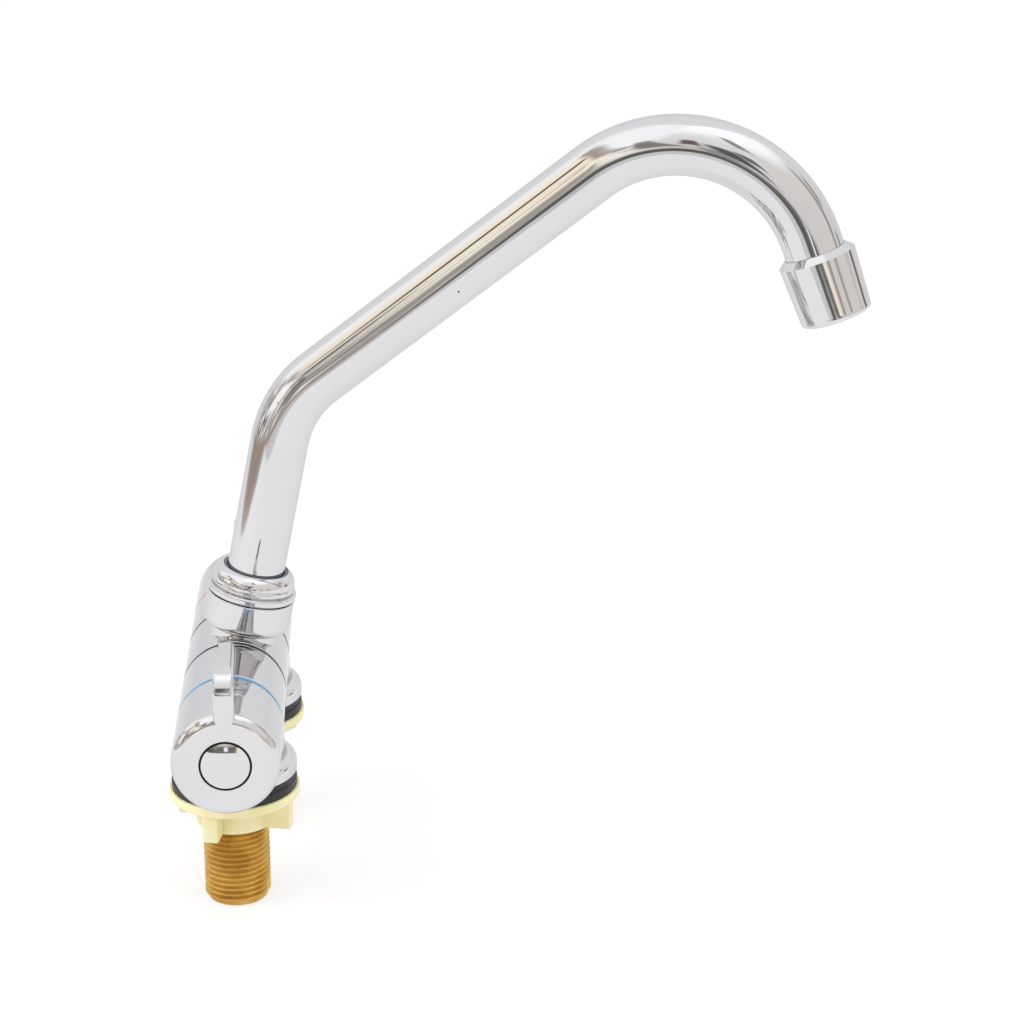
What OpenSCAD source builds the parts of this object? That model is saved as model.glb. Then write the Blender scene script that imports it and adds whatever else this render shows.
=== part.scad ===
// Folding caravan tap: two threaded inlets, two lever handles and a spout that folds and swivels.
// Millimetres, +Z up. The origin lies on the deck, under the seals, midway between the two inlets.
// +X is the way the spout reaches and +Y runs along the body from the cold handle to the hot one.

/* [Body] */
// centre distance of the two inlet tails
inlet_spacing = 60; // [58:0.5:63]
// height of the body axis above the deck
axis_h = 25; // [22.5:0.5:30]
// outside diameter of hub, end blocks and handles
body_d = 33; // [32:0.5:34]
// length of the folding hub, groove centre to groove centre
hub_len = 30; // [28.5:0.5:32]
// length of one end block
block_len = 25.5; // [25:0.1:28]
// width of the groove on either side of the hub
groove_w = 1.6; // [1:0.1:1.8]
// edge radius of the hub and of the blocks at the groove
drum_round = 0.4; // [0.3:0.1:1.2]

/* [Feet and inlets] */
// diameter of a foot's shoulder
foot_d = 39.6; // [38:0.2:42]
// height of a foot's shoulder above its seal
foot_h = 5.6; // [4.5:0.1:6.5]
// rounding of a foot's shoulder
foot_round = 3; // [1.5:0.1:4]
// diameter of the neck that carries the end block
neck_d = 32.2; // [31:0.2:33]
// thickness of a deck seal
seal_t = 5; // [3:0.5:5.5]
// outside diameter of the pipe thread on the tails
thread_d = 20.955; // [20.955]
// pitch of the pipe thread
thread_pitch = 1.814; // [1.814]
// length of a tail below the deck
tail_len = 38.5; // [34:0.5:60]
// water bore of a tail
tail_bore_d = 14.4; // [12:0.2:15]

/* [Backnuts] */
// diameter of a backnut's flange
nut_flange_d = 41; // [38:0.5:46]
// thickness of a backnut's flange
nut_flange_t = 3.2; // [2.5:0.1:4]
// diameter of a backnut's hub
nut_hub_d = 24.6; // [24:0.2:30]
// overall height of a backnut
nut_h = 12.4; // [10:0.2:16]
// thickness of a backnut's wings
wing_t = 5; // [2.5:0.1:5]
// how far the wings stand off the nut's centre
wing_off = 3.5; // [0:0.1:4]
// number of wings on a backnut
wing_count = 4; // [3:1:6]
// turn of the wings on the cold backnut
wing_turn = -11; // [-45:1:45]
// turn of the wings on the hot backnut
hot_wing_turn = 45; // [-45:1:45]

/* [Handles] */
// length of a handle from index ring to face
handle_len = 28.85; // [28:0.05:34]
// width of the coloured index ring
ring_w = 1.5; // [1:0.1:2]
// rounding of a handle's front edge
face_round = 3; // [1:0.1:3.5]
// lever's top above the body axis
lever_top = 29.4; // [25:0.2:34]
// lever's width at the front
lever_w_front = 6.4; // [5:0.1:8]
// lever's width at the back
lever_w_back = 4.8; // [4:0.1:7]
// rounding of the lever's front top edge
lever_round = 7.5; // [3:0.5:9]
// diameter of the round cap in the face
cap_d = 14.6; // [13.6:0.1:16]
// gap around the cap
cap_gap = 0.65; // [0.3:0.05:0.8]
// rise of the cap's dome
cap_sag = 0.85; // [0.4:0.05:1.2]

/* [Collar] */
// diameter of the upright boss on the hub
boss_d = 28; // [27.5:0.25:29]
// height of the boss above the body's surface
boss_h = 11.7; // [11.5:0.1:14]
// rounding under the boss
boss_round = 3; // [2:0.1:3.5]
// radius of the dome on the collar nut
dome_r = 4.1; // [3.9:0.1:4.3]
// radius of the collar nut's upper bead
bead_r = 1.6; // [1.5:0.05:1.65]

/* [Spout] */
// fold of the hub at rest, from upright
fold_rest = 11.5; // [0:0.5:20]
// swivel of the spout at rest, towards the hot side
spout_rest = -12; // [-40:1:40]
// outside diameter of the spout tube
tube_d = 18.3; // [18:0.1:18.6]
// wall of the spout tube
tube_wall = 1; // [0.8:0.1:1.5]
// body axis to the start of the first bend
rise_len = 80; // [70:1:110]
// centreline radius of the first bend
bend1_r = 36; // [25:1:45]
// angle of the first bend
bend1_a = 40.3; // [30:0.1:50]
// straight run between the bends
run_len = 108; // [80:1:140]
// centreline radius of the second bend
bend2_r = 42.2; // [36:0.1:55]
// angle of the second bend
bend2_a = 107.6; // [95:0.1:115]
// straight tube between second bend and outlet
drop_len = 3.5; // [2.5:0.5:15]

/* [Outlet] */
// diameter of the outlet housing under its shoulder
outlet_d = 23.6; // [23.2:0.2:27]
// height of the sloped shoulder
outlet_slope = 1.9; // [1:0.1:2.2]
// diameter of the outlet housing at its mouth
outlet_mouth_d = 22; // [21.6:0.2:23]
// rounding of the outlet housing's mouth
mouth_round = 1.5; // [0.5:0.1:1.6]
// length of the outlet housing
outlet_len = 21; // [20:0.5:26]

/* [Clearances] */
// radial clearance of turning shafts
run_clear = 0.06; // [0.03:0.01:0.09]
// radial clearance between pieces that are joined
join_clear = 0.02; // [0.01:0.01:0.03]
// gap between faces that turn past each other
face_gap = 0.1; // [0.08:0.01:0.12]
// gap between soft seals and the faces that turn past them
seal_gap = 0.25; // [0.2:0.01:0.3]

/* [Hidden] */

$fn = 96;
// overlap that keeps cuts and joins clean
eps = 0.01;
chrome = [0.86, 0.87, 0.88];
brass = [0.72, 0.55, 0.25];
rubber = [0.08, 0.08, 0.08];
cream = [0.93, 0.90, 0.70];
ceramic = [0.92, 0.92, 0.90];
acetal = [0.25, 0.25, 0.27];
blue = [0.20, 0.55, 0.80];
red = [0.80, 0.15, 0.15];
steel = [0.70, 0.70, 0.72];

body_r = body_d / 2;
inlet_a = inlet_spacing / 2;
// stations along the body, counted from its middle
hub_face = (hub_len - groove_w) / 2;
block_in = (hub_len + groove_w) / 2;
block_out = block_in + block_len;
handle_gap = 0.35;
handle_back = block_out + ring_w + handle_gap;
face = handle_back + handle_len;
// fold axle
axle_r = 8;
axle_bore_r = 4.4;
axle_end = block_in + 7.5;
axle_ring_a = hub_face - 4.5;
axle_ring_minor = 1.1;
axle_ring_major = axle_r + run_clear - seal_gap - axle_ring_minor;
port_r = 2.4;
// cartridge socket and what is in it
seat_a = block_out - 16.4;
socket_r = 9.5;
seat_seal_t = 1.9;
seat_seal_r = 7.4;
fixed_a = seat_a + seat_seal_t + face_gap;
disc_t = 2.2;
turning_a = fixed_a + disc_t + 0.05;
foot_a = turning_a + disc_t + 0.05;
foot_t = 1.9;
cavity_a = foot_a + foot_t + face_gap;
cavity_r = 6.4;
disc_r = 6;
disc_port_a = 3.1;
disc_port_r = 1.7;
cart_r = 7.8;
cart_thread_a = block_out - 6.4;
hex_t = 4.6;
hex_af = 20;
neck_len = 5.9;
gland_r = 6.5;
slot_w = 5.2;
neck_end = block_out + hex_t + neck_len;
spindle_r = 4;
spindle_flat = 6.2;
index_bore_r = 12.1;
spindle_end = neck_end + 8;
// handle
handle_wall_r = body_r - 3.3;
handle_floor = neck_end + 3;
recess_r = cap_d / 2 + cap_gap;
recess_a = face - 5.5;
screw_r = 2;
screw_head_r = 3.6;
screw_head_t = 2.4;
screw_tip = neck_end + 0.5;
lever_back = handle_back + 1.5;
lever_base = body_r - 2;
// feet
// room between the shoulders and the drums that turn over them
foot_gap = 0.6;
foot_top = seal_t + foot_h;
foot_r = foot_d / 2;
neck_r = neck_d / 2;
// how far the neck's flats lie behind the block's ends
neck_back = 0.3;
// how far the hollows under the drums reach past the block's ends
hollow_in = 0.15;
tail_r = thread_d / 2;
thread_depth = 0.64 * thread_pitch;
shank_r = tail_r - 0.18;
tail_top = axis_h - socket_r;
inlet_r = 5.5;
// collar, along the spout's own axis, counted from the body axis
tube_r = tube_d / 2;
boss_r = boss_d / 2;
boss_neck_r = boss_r - boss_round - 0.2;
boss_low = body_r + 0.6;
boss_top = body_r + boss_h;
socket_floor = body_r + 0.7;
tube_foot = socket_floor + 0.8;
ring_low = body_r + 3.9;
ring_high = ring_low + 3.8;
ring_minor = 0.8;
ring_major = tube_r + seal_gap + ring_minor;
shoulder_h = boss_top - 1.2;
cup_r = tube_r + 1.8;
flange_r = cup_r - 0.3;
flange_low = shoulder_h + 0.2;
flange_t = 2.4;
bush_low = flange_low + flange_t + 0.2;
neck_thread_r = boss_r - 2;
neck_top = boss_top + 4;
bush_top = neck_top + 0.4;
nut_low = boss_top + 0.4;
nut_floor = bush_top + face_gap;
lip_r = tube_r + 1.3;
bead_c = boss_r - 0.65 - bead_r;
bead_h = nut_low + 3.5;
dome_h = nut_low + 4.8;
dome_c = boss_r - dome_r - 1;
wiper_low = nut_floor + 0.6;
lip_top = dome_h + sqrt(pow(dome_r, 2) - pow(lip_r - dome_c, 2));
wiper_top = lip_top - 0.2;
lap = 0.05;
bend_thin = 0.02;
// outlet, along the spout's last straight
outlet_r = outlet_d / 2;
mouth_r = outlet_mouth_d / 2;
tube_in = 7;
aer_r = mouth_r - 1.7;
aer_floor = drop_len + tube_in + 2.4;

// turns the hot half into the cold half
module cold_side() {
  mirror([0, 1, 0]) children();
}

// puts a shape drawn along +Z on the body axis, along +Y
module on_axis(a = 0) {
  translate([0, a, axis_h]) rotate([-90, 0, 0]) children();
}

// puts a shape on an inlet's axis, at deck height
module on_inlet() {
  translate([0, inlet_a, 0]) children();
}

// puts a shape on the spout's axis, at the body axis, folded and swivelled as at rest
module on_spout() {
  translate([0, 0, axis_h]) rotate([0, fold_rest, 0]) rotate(spout_rest) children();
}

// flat profile of a round bar from a0 to a1 with rounded ends
module bar_profile(r, a0, a1, f0, f1) {
  translate([0, a0 + f0]) square([r, a1 - a0 - f0 - f1]);
  translate([0, a0]) square([r - f0, f0 + eps]);
  translate([0, a1 - f1 - eps]) square([r - f1, f1 + eps]);
  intersection() {
    translate([r - f0, a0 + f0]) circle(f0);
    translate([0, a0]) square([r, f0 + eps]);
  }
  intersection() {
    translate([r - f1, a1 - f1]) circle(f1);
    translate([0, a1 - f1 - eps]) square([r, f1 + eps]);
  }
}

// round bar along +Z with rounded ends
module drum(r, a0, a1, f0, f1) {
  rotate_extrude() bar_profile(r, a0, a1, f0, f1);
}

// plain ring along +Z
module ring(r_out, r_in, h0, h1) {
  difference() {
    translate([0, 0, h0]) cylinder(r = r_out, h = h1 - h0);
    translate([0, 0, h0 - 1]) cylinder(r = r_in, h = h1 - h0 + 2);
  }
}

// round cut along +Z
module cut(r, h0, h1) {
  translate([0, 0, h0]) cylinder(r = r, h = h1 - h0);
}

// ring of round section
module torus(major, minor, h) {
  translate([0, 0, h]) rotate_extrude() translate([major, 0]) circle(minor, $fn = 48);
}

// shoulder of a foot, hollowed where the hub and the handle turn over it
module foot_shoulder() {
  difference() {
    on_inlet() drum(foot_r, seal_t, foot_top, 0.4, foot_round);
    on_axis() cut(body_r + foot_gap, 0, block_in + hollow_in);
    on_axis() cut(body_r + foot_gap, block_out - hollow_in, face);
  }
}

// neck between shoulder and block, with flats near the block's ends
module foot_neck() {
  intersection() {
    on_inlet() cut(neck_r, seal_t + 0.5, axis_h);
    translate([-foot_r, block_in + neck_back, 0])
      cube([foot_d, block_len - 2 * neck_back, axis_h + body_r]);
  }
}

// chromed casting: end of the body, neck and foot, with socket, axle seat and water way
module end_block() {
  difference() {
    union() {
      on_axis() drum(body_r, block_in, block_out, drum_round, 0.4);
      foot_neck();
      foot_shoulder();
    }
    on_axis() cut(axle_r + join_clear, block_in - 1, axle_end);
    on_axis() cut(axle_bore_r, axle_end - 1, seat_a + 1);
    on_axis() cut(socket_r, seat_a, block_out + 1);
    on_inlet() cut(shank_r + join_clear, seal_t - 1, tail_top);
    on_inlet() cut(inlet_r, tail_top - 1, axis_h);
  }
}

// brass tail: plain shank in the foot and nut, pipe thread below, water bore
module tail() {
  crest = 0.3 * thread_pitch;
  turns = floor((tail_len - nut_h - 1.6) / thread_pitch);
  on_inlet() difference() {
    union() {
      cut(shank_r, -nut_h, tail_top - face_gap);
      cut(tail_r - thread_depth, -tail_len + 0.8, -nut_h + eps);
      rotate_extrude() translate([0, -tail_len]) polygon([
        [0, 0], [tail_r - 1, 0], [tail_r - thread_depth, 0.8 + eps], [0, 0.8 + eps]]);
      for (k = [0 : turns - 1])
        rotate_extrude() translate([0, -tail_len + 0.8 + k * thread_pitch]) polygon([
          [tail_r - thread_depth - 0.3, 0],
          [tail_r - thread_depth, 0],
          [tail_r, (thread_pitch - crest) / 2],
          [tail_r, (thread_pitch + crest) / 2],
          [tail_r - thread_depth, thread_pitch - 0.06],
          [tail_r - thread_depth - 0.3, thread_pitch - 0.06]]);
    }
    cut(tail_bore_d / 2, -tail_len - 1, tail_top + 1);
  }
}

// thick rubber seal between foot and deck, with a waist above its lip
module seal() {
  lip = 0.6 * seal_t;
  on_inlet() difference() {
    union() {
      drum(foot_r - 0.1, 0, lip, 0.3, 0.5);
      cut(foot_r - 0.5, lip - 1, seal_t);
    }
    cut(tail_r + 0.2, -1, seal_t + 1);
  }
}

// plastic backnut: flange, hub and wings set off its centre
module backnut(turn) {
  flange_edge = 0.5;
  wing_side = wing_off + wing_t / 2;
  wing_out = sqrt(pow(nut_flange_d / 2 - flange_edge - 0.05, 2) - pow(wing_side, 2));
  wing_in = sqrt(pow(nut_hub_d / 2 - 0.6, 2) - pow(wing_side, 2));
  on_inlet() difference() {
    union() {
      drum(nut_flange_d / 2, -nut_flange_t, 0, flange_edge, 0.4);
      drum(nut_hub_d / 2, -nut_h, -nut_flange_t + 0.5, 0.6, 0);
      for (k = [0 : wing_count - 1])
        rotate(turn - 90 + k * 360 / wing_count)
          translate([wing_in, -wing_side, -nut_h + 0.15])
            cube([wing_out - wing_in, wing_t, nut_h - nut_flange_t + 0.65]);
    }
    cut(shank_r + join_clear, -nut_h - 1, 1);
  }
}

// brass headwork of the quarter-turn valve
module cartridge() {
  on_axis() difference() {
    union() {
      cut(cart_r, fixed_a, cart_thread_a + eps);
      cut(socket_r - join_clear, cart_thread_a, block_out);
      translate([0, 0, block_out]) cylinder(d = hex_af / cos(30), h = hex_t, $fn = 6);
      cut(gland_r, block_out + hex_t - eps, neck_end);
    }
    cut(cavity_r, fixed_a - 1, cavity_a);
    cut(spindle_r + run_clear, cavity_a - 1, neck_end + 1);
    for (k = [0, 180])
      rotate(k + 90)
        translate([0, -slot_w / 2, turning_a + 0.2]) cube([cart_r + 2, slot_w, disc_t + foot_t]);
  }
}

// rubber seat under the fixed disc
module seat_seal() {
  on_axis() ring(seat_seal_r, axle_bore_r + 0.4, seat_a, seat_a + seat_seal_t);
}

// ceramic disc with two round ports
module ceramic_disc(a, r, ports) {
  on_axis() difference() {
    cut(r, a, a + disc_t);
    for (k = [0, 180])
      rotate(k + ports) translate([disc_port_a, 0, 0]) cut(disc_port_r, a - 1, a + disc_t + 1);
  }
}

module fixed_disc() {
  ceramic_disc(fixed_a, cavity_r - join_clear, 0);
}

module turning_disc() {
  ceramic_disc(turning_a, disc_r, 90);
}

// coloured plastic ring between end block and handle
module index_ring() {
  on_axis() ring(body_r - 0.1, index_bore_r, block_out, block_out + ring_w);
}

// hollow brass axle that ties the end blocks and carries the hub
module axle() {
  on_axis() difference() {
    cut(axle_r, -axle_end + face_gap, axle_end - face_gap);
    cut(axle_bore_r, -axle_end - 1, axle_end + 1);
    for (s = [-1, 1])
      ring(axle_r + 1, axle_ring_major - axle_ring_minor,
           s * axle_ring_a - axle_ring_minor - 0.1, s * axle_ring_a + axle_ring_minor + 0.1);
    for (k = [0, 90])
      rotate([0, 90, k]) cut(port_r, -axle_r - 1, axle_r + 1);
  }
}

// rubber rings that seal the hub on its axle
module axle_seals() {
  on_axis() {
    for (s = [-1, 1])
      torus(axle_ring_major, axle_ring_minor, s * axle_ring_a);
  }
}

// friction washers that fill the two grooves
module washers() {
  on_axis() {
    for (s = [-1, 1])
      ring(body_r - 0.05, axle_r + 0.3, min(s * (hub_face + face_gap), s * (block_in - face_gap)),
           max(s * (hub_face + face_gap), s * (block_in - face_gap)));
  }
}

// chromed folding hub: drum on the axle and the boss that holds the spout
module hub() {
  difference() {
    union() {
      on_axis() drum(body_r, -hub_face, hub_face, drum_round, drum_round);
      on_spout() {
        cut(boss_neck_r, axle_r, boss_low + 1);
        drum(boss_r, boss_low, boss_top, boss_round, 0.3);
        cut(neck_thread_r, boss_top - 1, neck_top);
      }
    }
    on_axis() cut(axle_r + run_clear, -hub_len, hub_len);
    on_axis() cut(axle_r + 2, -4.5, 4.5);
    on_spout() cut(inlet_r + 1, 1, socket_floor + 1);
    on_spout() cut(tube_r + run_clear, socket_floor, boss_top);
    on_spout() cut(cup_r, shoulder_h, neck_top + 1);
    on_spout() {
      for (h = [ring_low, ring_high])
        cut(ring_major + ring_minor + 0.05, h - ring_minor - 0.2, h + ring_minor + 0.2);
    }
  }
}

// chromed collar nut: two beads and a dome with a lipped mouth
module collar() {
  on_spout() difference() {
    union() {
      drum(boss_r + 0.1, nut_low, nut_low + 2.2, 0.5, 0.7);
      cut(boss_r - 1.1, nut_low + 1, bead_h);
      torus(bead_c, bead_r, bead_h);
      cut(bead_c, bead_h - eps, dome_h + eps);
      rotate_extrude() intersection() {
        translate([dome_c, dome_h]) circle(dome_r);
        translate([0, dome_h]) square([boss_r + 1, lip_top - dome_h]);
      }
      cut(dome_c + 0.5, dome_h, lip_top);
    }
    cut(neck_thread_r + join_clear, nut_low - 1, nut_floor);
    cut(lip_r, nut_floor - 1, lip_top + 1);
  }
}

// dark wiper that fills the collar's mouth round the tube
module wiper() {
  on_spout() ring(lip_r - join_clear, tube_r + seal_gap, wiper_low, wiper_top);
}

// plastic bearing bush over the spout's flange
module bush() {
  on_spout() ring(cup_r - join_clear, tube_r + seal_gap, bush_low, bush_top);
}

// rubber rings in the hub's socket
module spout_seals() {
  on_spout() {
    for (h = [ring_low, ring_high])
      torus(ring_major, ring_minor, h);
  }
}

// bend that starts upright at the origin and leans over to +X
module bend(r, a, section_r) {
  translate([r, 0, 0]) rotate([90, 0, 0]) rotate(180 - a)
    rotate_extrude(angle = a) translate([r, 0]) circle(section_r);
}

// carries on from the end of such a bend
module past_bend(r, a) {
  translate([r * (1 - cos(a)), 0, r * sin(a)]) rotate([0, a, 0]) children();
}

// puts a shape on the spout's last straight
module on_outlet() {
  on_spout() translate([0, 0, rise_len]) past_bend(bend1_r, bend1_a)
    translate([0, 0, run_len]) past_bend(bend2_r, bend2_a) children();
}

// the spout's path at one radius, for its outside and its bore; the ends run on by extra
// the straights lap into the bends, which are a hair thinner, as bent tube is
module tube_path(r, extra) {
  cut(r, tube_foot - extra, rise_len + lap);
  translate([0, 0, rise_len]) {
    bend(bend1_r, bend1_a, r - bend_thin);
    past_bend(bend1_r, bend1_a) {
      cut(r, -lap, run_len + lap);
      translate([0, 0, run_len]) {
        bend(bend2_r, bend2_a, r - bend_thin);
        past_bend(bend2_r, bend2_a) cut(r, -lap, drop_len + tube_in + extra);
      }
    }
  }
}

// chromed bent tube, from the hub's socket into the outlet housing
module tube() {
  on_spout() difference() {
    tube_path(tube_r, 0);
    tube_path(tube_r - tube_wall, 1);
  }
}

// brass flange brazed on the tube, which the collar nut holds down
module flange() {
  on_spout() ring(flange_r, tube_r + join_clear, flange_low, flange_low + flange_t);
}

// chromed outlet housing: sloped shoulder, slight taper and rounded mouth
module housing() {
  top = drop_len;
  end = drop_len + outlet_len;
  on_outlet() difference() {
    union() {
      rotate_extrude() polygon([
        [0, top], [tube_r + 0.5, top], [outlet_r, top + outlet_slope],
        [mouth_r, end - mouth_round - 0.5], [0, end - mouth_round - 0.5]]);
      drum(mouth_r, end - mouth_round - 0.5 - eps, end, 0, mouth_round);
    }
    cut(tube_r + join_clear, top - 1, top + tube_in);
    cut(tube_r - tube_wall, top + tube_in - 1, aer_floor + 1);
    cut(aer_r, aer_floor, end + 1);
  }
}

// rubber washer above the aerator
module outlet_washer() {
  on_outlet() ring(aer_r - join_clear, tube_r - tube_wall, aer_floor, aer_floor + 1.5);
}

// plastic aerator insert with a plate of small holes
module insert() {
  low = aer_floor + 1.5;
  end = drop_len + outlet_len - 0.6;
  on_outlet() difference() {
    cut(aer_r - join_clear, low, end);
    cut(aer_r - 1.6, low - 1, end - 2.4);
    for (k = [0 : 11])
      rotate(k * 30) translate([aer_r - 2.9, 0, 0]) cut(0.9, end - 3, end + 1);
    for (k = [0 : 5])
      rotate(k * 60) translate([aer_r - 5.9, 0, 0]) cut(0.9, end - 3, end + 1);
    cut(0.9, end - 3, end + 1);
  }
}

// side view of the lever, flush with the handle's face
module lever_profile() {
  back_round = 2;
  translate([lever_back, lever_base]) square([face - lever_back, lever_top - lever_round - lever_base]);
  translate([lever_back + back_round, lever_base])
    square([face - lever_round - lever_back - back_round, lever_top - lever_base]);
  intersection() {
    translate([face - lever_round, lever_top - lever_round]) circle(lever_round);
    translate([face - lever_round, lever_top - lever_round]) square(lever_round);
  }
  translate([lever_back, lever_base]) square([back_round + eps, lever_top - back_round - lever_base]);
  intersection() {
    translate([lever_back + back_round, lever_top - back_round]) circle(back_round);
    translate([lever_back, lever_top - back_round - eps]) square(back_round + eps);
  }
}

// plan of the lever, narrower at the back
module lever_plan() {
  polygon([
    [-lever_w_back / 2, lever_back - 1], [lever_w_back / 2, lever_back - 1],
    [lever_w_front / 2, face + eps], [-lever_w_front / 2, face + eps]]);
}

// chromed handle: cup over the headwork, drive socket, cap recess and lever
module handle() {
  difference() {
    union() {
      on_axis() drum(body_r, handle_back, face, 0.4, face_round);
      intersection() {
        translate([-lever_w_front, 0, axis_h]) rotate([90, 0, 90]) linear_extrude(2 * lever_w_front) lever_profile();
        translate([0, 0, axis_h]) linear_extrude(lever_top + 1) lever_plan();
      }
    }
    on_axis() cut(handle_wall_r, handle_back - 1, handle_floor);
    on_axis() intersection() {
      cut(spindle_r + join_clear, handle_floor - 1, spindle_end + 0.3);
      translate([-spindle_flat / 2 - join_clear, -body_r, handle_floor - 1])
        cube([spindle_flat + 2 * join_clear, body_d, handle_len]);
    }
    on_axis() cut(screw_r + 0.1, spindle_end, recess_a + 1);
    on_axis() cut(recess_r, recess_a, face + 1);
  }
}

// round cap that snaps into the face, slightly domed
module cap() {
  dome = (pow(cap_d / 2, 2) + pow(cap_sag, 2)) / (2 * cap_sag);
  skirt = recess_a + screw_head_t + 1;
  on_axis() {
    cut(recess_r - join_clear, recess_a + screw_head_t + 0.3, recess_a + screw_head_t + 1.4);
    rotate_extrude() intersection() {
      translate([0, face + cap_sag - dome]) circle(dome, $fn = 360);
      translate([0, skirt]) square([cap_d / 2, face + cap_sag + 1 - skirt]);
    }
  }
}

// screw that holds the handle on its spindle
module screw() {
  on_axis() difference() {
    union() {
      cut(screw_head_r, recess_a, recess_a + screw_head_t);
      cut(screw_r - join_clear, screw_tip, recess_a + eps);
    }
    translate([0, 0, recess_a + 1.2]) cylinder(d = 3, h = 3, $fn = 6);
  }
}

// valve spindle with two flats for the handle and a foot that drives the disc
module spindle() {
  on_axis() difference() {
    union() {
      cut(disc_r, foot_a, foot_a + foot_t);
      cut(spindle_r, foot_a, neck_end + 1);
      intersection() {
        cut(spindle_r, neck_end, spindle_end);
        translate([-spindle_flat / 2, -body_r, neck_end]) cube([spindle_flat, body_d, handle_len]);
      }
    }
    cut(screw_r, screw_tip - 0.5, spindle_end + 1);
  }
}

module hot_block() color(chrome) end_block();
module cold_block() color(chrome) cold_side() end_block();
module hot_tail() color(brass) tail();
module cold_tail() color(brass) cold_side() tail();
module hot_seal() color(rubber) seal();
module cold_seal() color(rubber) cold_side() seal();
module hot_backnut() color(cream) backnut(hot_wing_turn);
module cold_backnut() color(cream) translate([0, -inlet_spacing, 0]) backnut(wing_turn);
module hot_cartridge() color(brass) cartridge();
module cold_cartridge() color(brass) cold_side() cartridge();
module hot_seat_seal() color(rubber) seat_seal();
module cold_seat_seal() color(rubber) cold_side() seat_seal();
module hot_fixed_disc() color(ceramic) fixed_disc();
module cold_fixed_disc() color(ceramic) cold_side() fixed_disc();
module hot_index_ring() color(red) index_ring();
module cold_index_ring() color(blue) cold_side() index_ring();
module fold_axle() color(brass) axle();
module axle_o_rings() color(rubber) axle_seals();
module hub_washers() color(rubber) washers();
module fold_hub() color(chrome) hub();
module collar_nut() color(chrome) collar();
module wiper_ring() color(acetal) wiper();
module spout_bush() color(acetal) bush();
module spout_o_rings() color(rubber) spout_seals();
module spout_tube() color(chrome) tube();
module spout_flange() color(brass) flange();
module aerator_housing() color(chrome) housing();
module aerator_washer() color(rubber) outlet_washer();
module aerator_insert() color(acetal) insert();
module hot_handle() color(chrome) handle();
module cold_handle() color(chrome) cold_side() handle();
module hot_cap() color(chrome) cap();
module cold_cap() color(chrome) cold_side() cap();
module hot_screw() color(steel) screw();
module cold_screw() color(steel) cold_side() screw();
module hot_spindle() color(brass) spindle();
module cold_spindle() color(brass) cold_side() spindle();
module hot_turning_disc() color(ceramic) turning_disc();
module cold_turning_disc() color(ceramic) cold_side() turning_disc();

cold_block();
hot_block();
cold_tail();
hot_tail();
cold_seal();
hot_seal();
cold_backnut();
hot_backnut();
cold_cartridge();
hot_cartridge();
cold_seat_seal();
hot_seat_seal();
cold_fixed_disc();
hot_fixed_disc();
cold_index_ring();
hot_index_ring();
fold_axle();
axle_o_rings();
hub_washers();
fold_hub();
collar_nut();
wiper_ring();
spout_bush();
spout_o_rings();
spout_tube();
spout_flange();
aerator_housing();
aerator_washer();
aerator_insert();
cold_handle();
hot_handle();
cold_cap();
hot_cap();
cold_screw();
hot_screw();
cold_spindle();
hot_spindle();
cold_turning_disc();
hot_turning_disc();
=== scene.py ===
"""Dresses the folding caravan tap: finishes, turned pieces, studio and camera.

Sizes are in millimetres, in the same frame as the solids: the origin lies on the deck midway
between the inlets, +X is the way the spout reaches, +Y runs from the cold handle to the hot one.
"""

import logging
import math
from dataclasses import dataclass, field
from enum import Enum
from typing import Any

import bmesh
import bpy
from mathutils import Matrix, Vector


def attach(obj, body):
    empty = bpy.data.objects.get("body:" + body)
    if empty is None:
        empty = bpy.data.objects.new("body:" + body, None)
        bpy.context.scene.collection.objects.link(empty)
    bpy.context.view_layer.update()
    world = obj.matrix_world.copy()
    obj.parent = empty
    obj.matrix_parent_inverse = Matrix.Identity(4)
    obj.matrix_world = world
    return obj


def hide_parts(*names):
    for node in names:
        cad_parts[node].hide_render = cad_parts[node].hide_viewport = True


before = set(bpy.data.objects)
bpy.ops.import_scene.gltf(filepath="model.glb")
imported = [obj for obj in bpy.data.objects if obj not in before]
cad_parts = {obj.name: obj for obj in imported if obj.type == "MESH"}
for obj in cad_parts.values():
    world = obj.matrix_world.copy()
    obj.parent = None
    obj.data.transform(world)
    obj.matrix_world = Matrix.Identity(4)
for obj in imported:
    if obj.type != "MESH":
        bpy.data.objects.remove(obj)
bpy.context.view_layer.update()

LOG = logging.getLogger("tap")
MM = 0.001
TURN = 2 * math.pi
Colour = tuple[float, float, float, float]
# Radius, station and rounding of a corner of a turned profile.
Corner = tuple[float, float, float]
Point = tuple[float, float, float]
Span = tuple[float, float]
# Millimetres within which places count as the same.
NEAR = 0.1


class Slot(Enum):
    """Material slots of the record."""

    CHROME = "chrome"
    BRASS = "brass"
    RUBBER = "rubber"
    CREAM = "cream"
    ACETAL = "acetal"
    CERAMIC = "ceramic"
    BLUE = "blue"
    RED = "red"
    STEEL = "steel"


class Body(Enum):
    """Bodies that move as one."""

    BASE = "base"
    FOLD = "fold"
    SPOUT = "spout"
    COLD = "cold_lever"
    HOT = "hot_lever"


class Side(Enum):
    """The two ends of the tap; the value is the sign of Y."""

    COLD = -1
    HOT = 1

    def node(self, part: str) -> str:
        """Name of this end's solid of a kind."""
        return f"{self.name.lower()}_{part}"

    def lever(self) -> Body:
        """Body of this end's handle."""
        return Body.COLD if self is Side.COLD else Body.HOT


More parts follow.
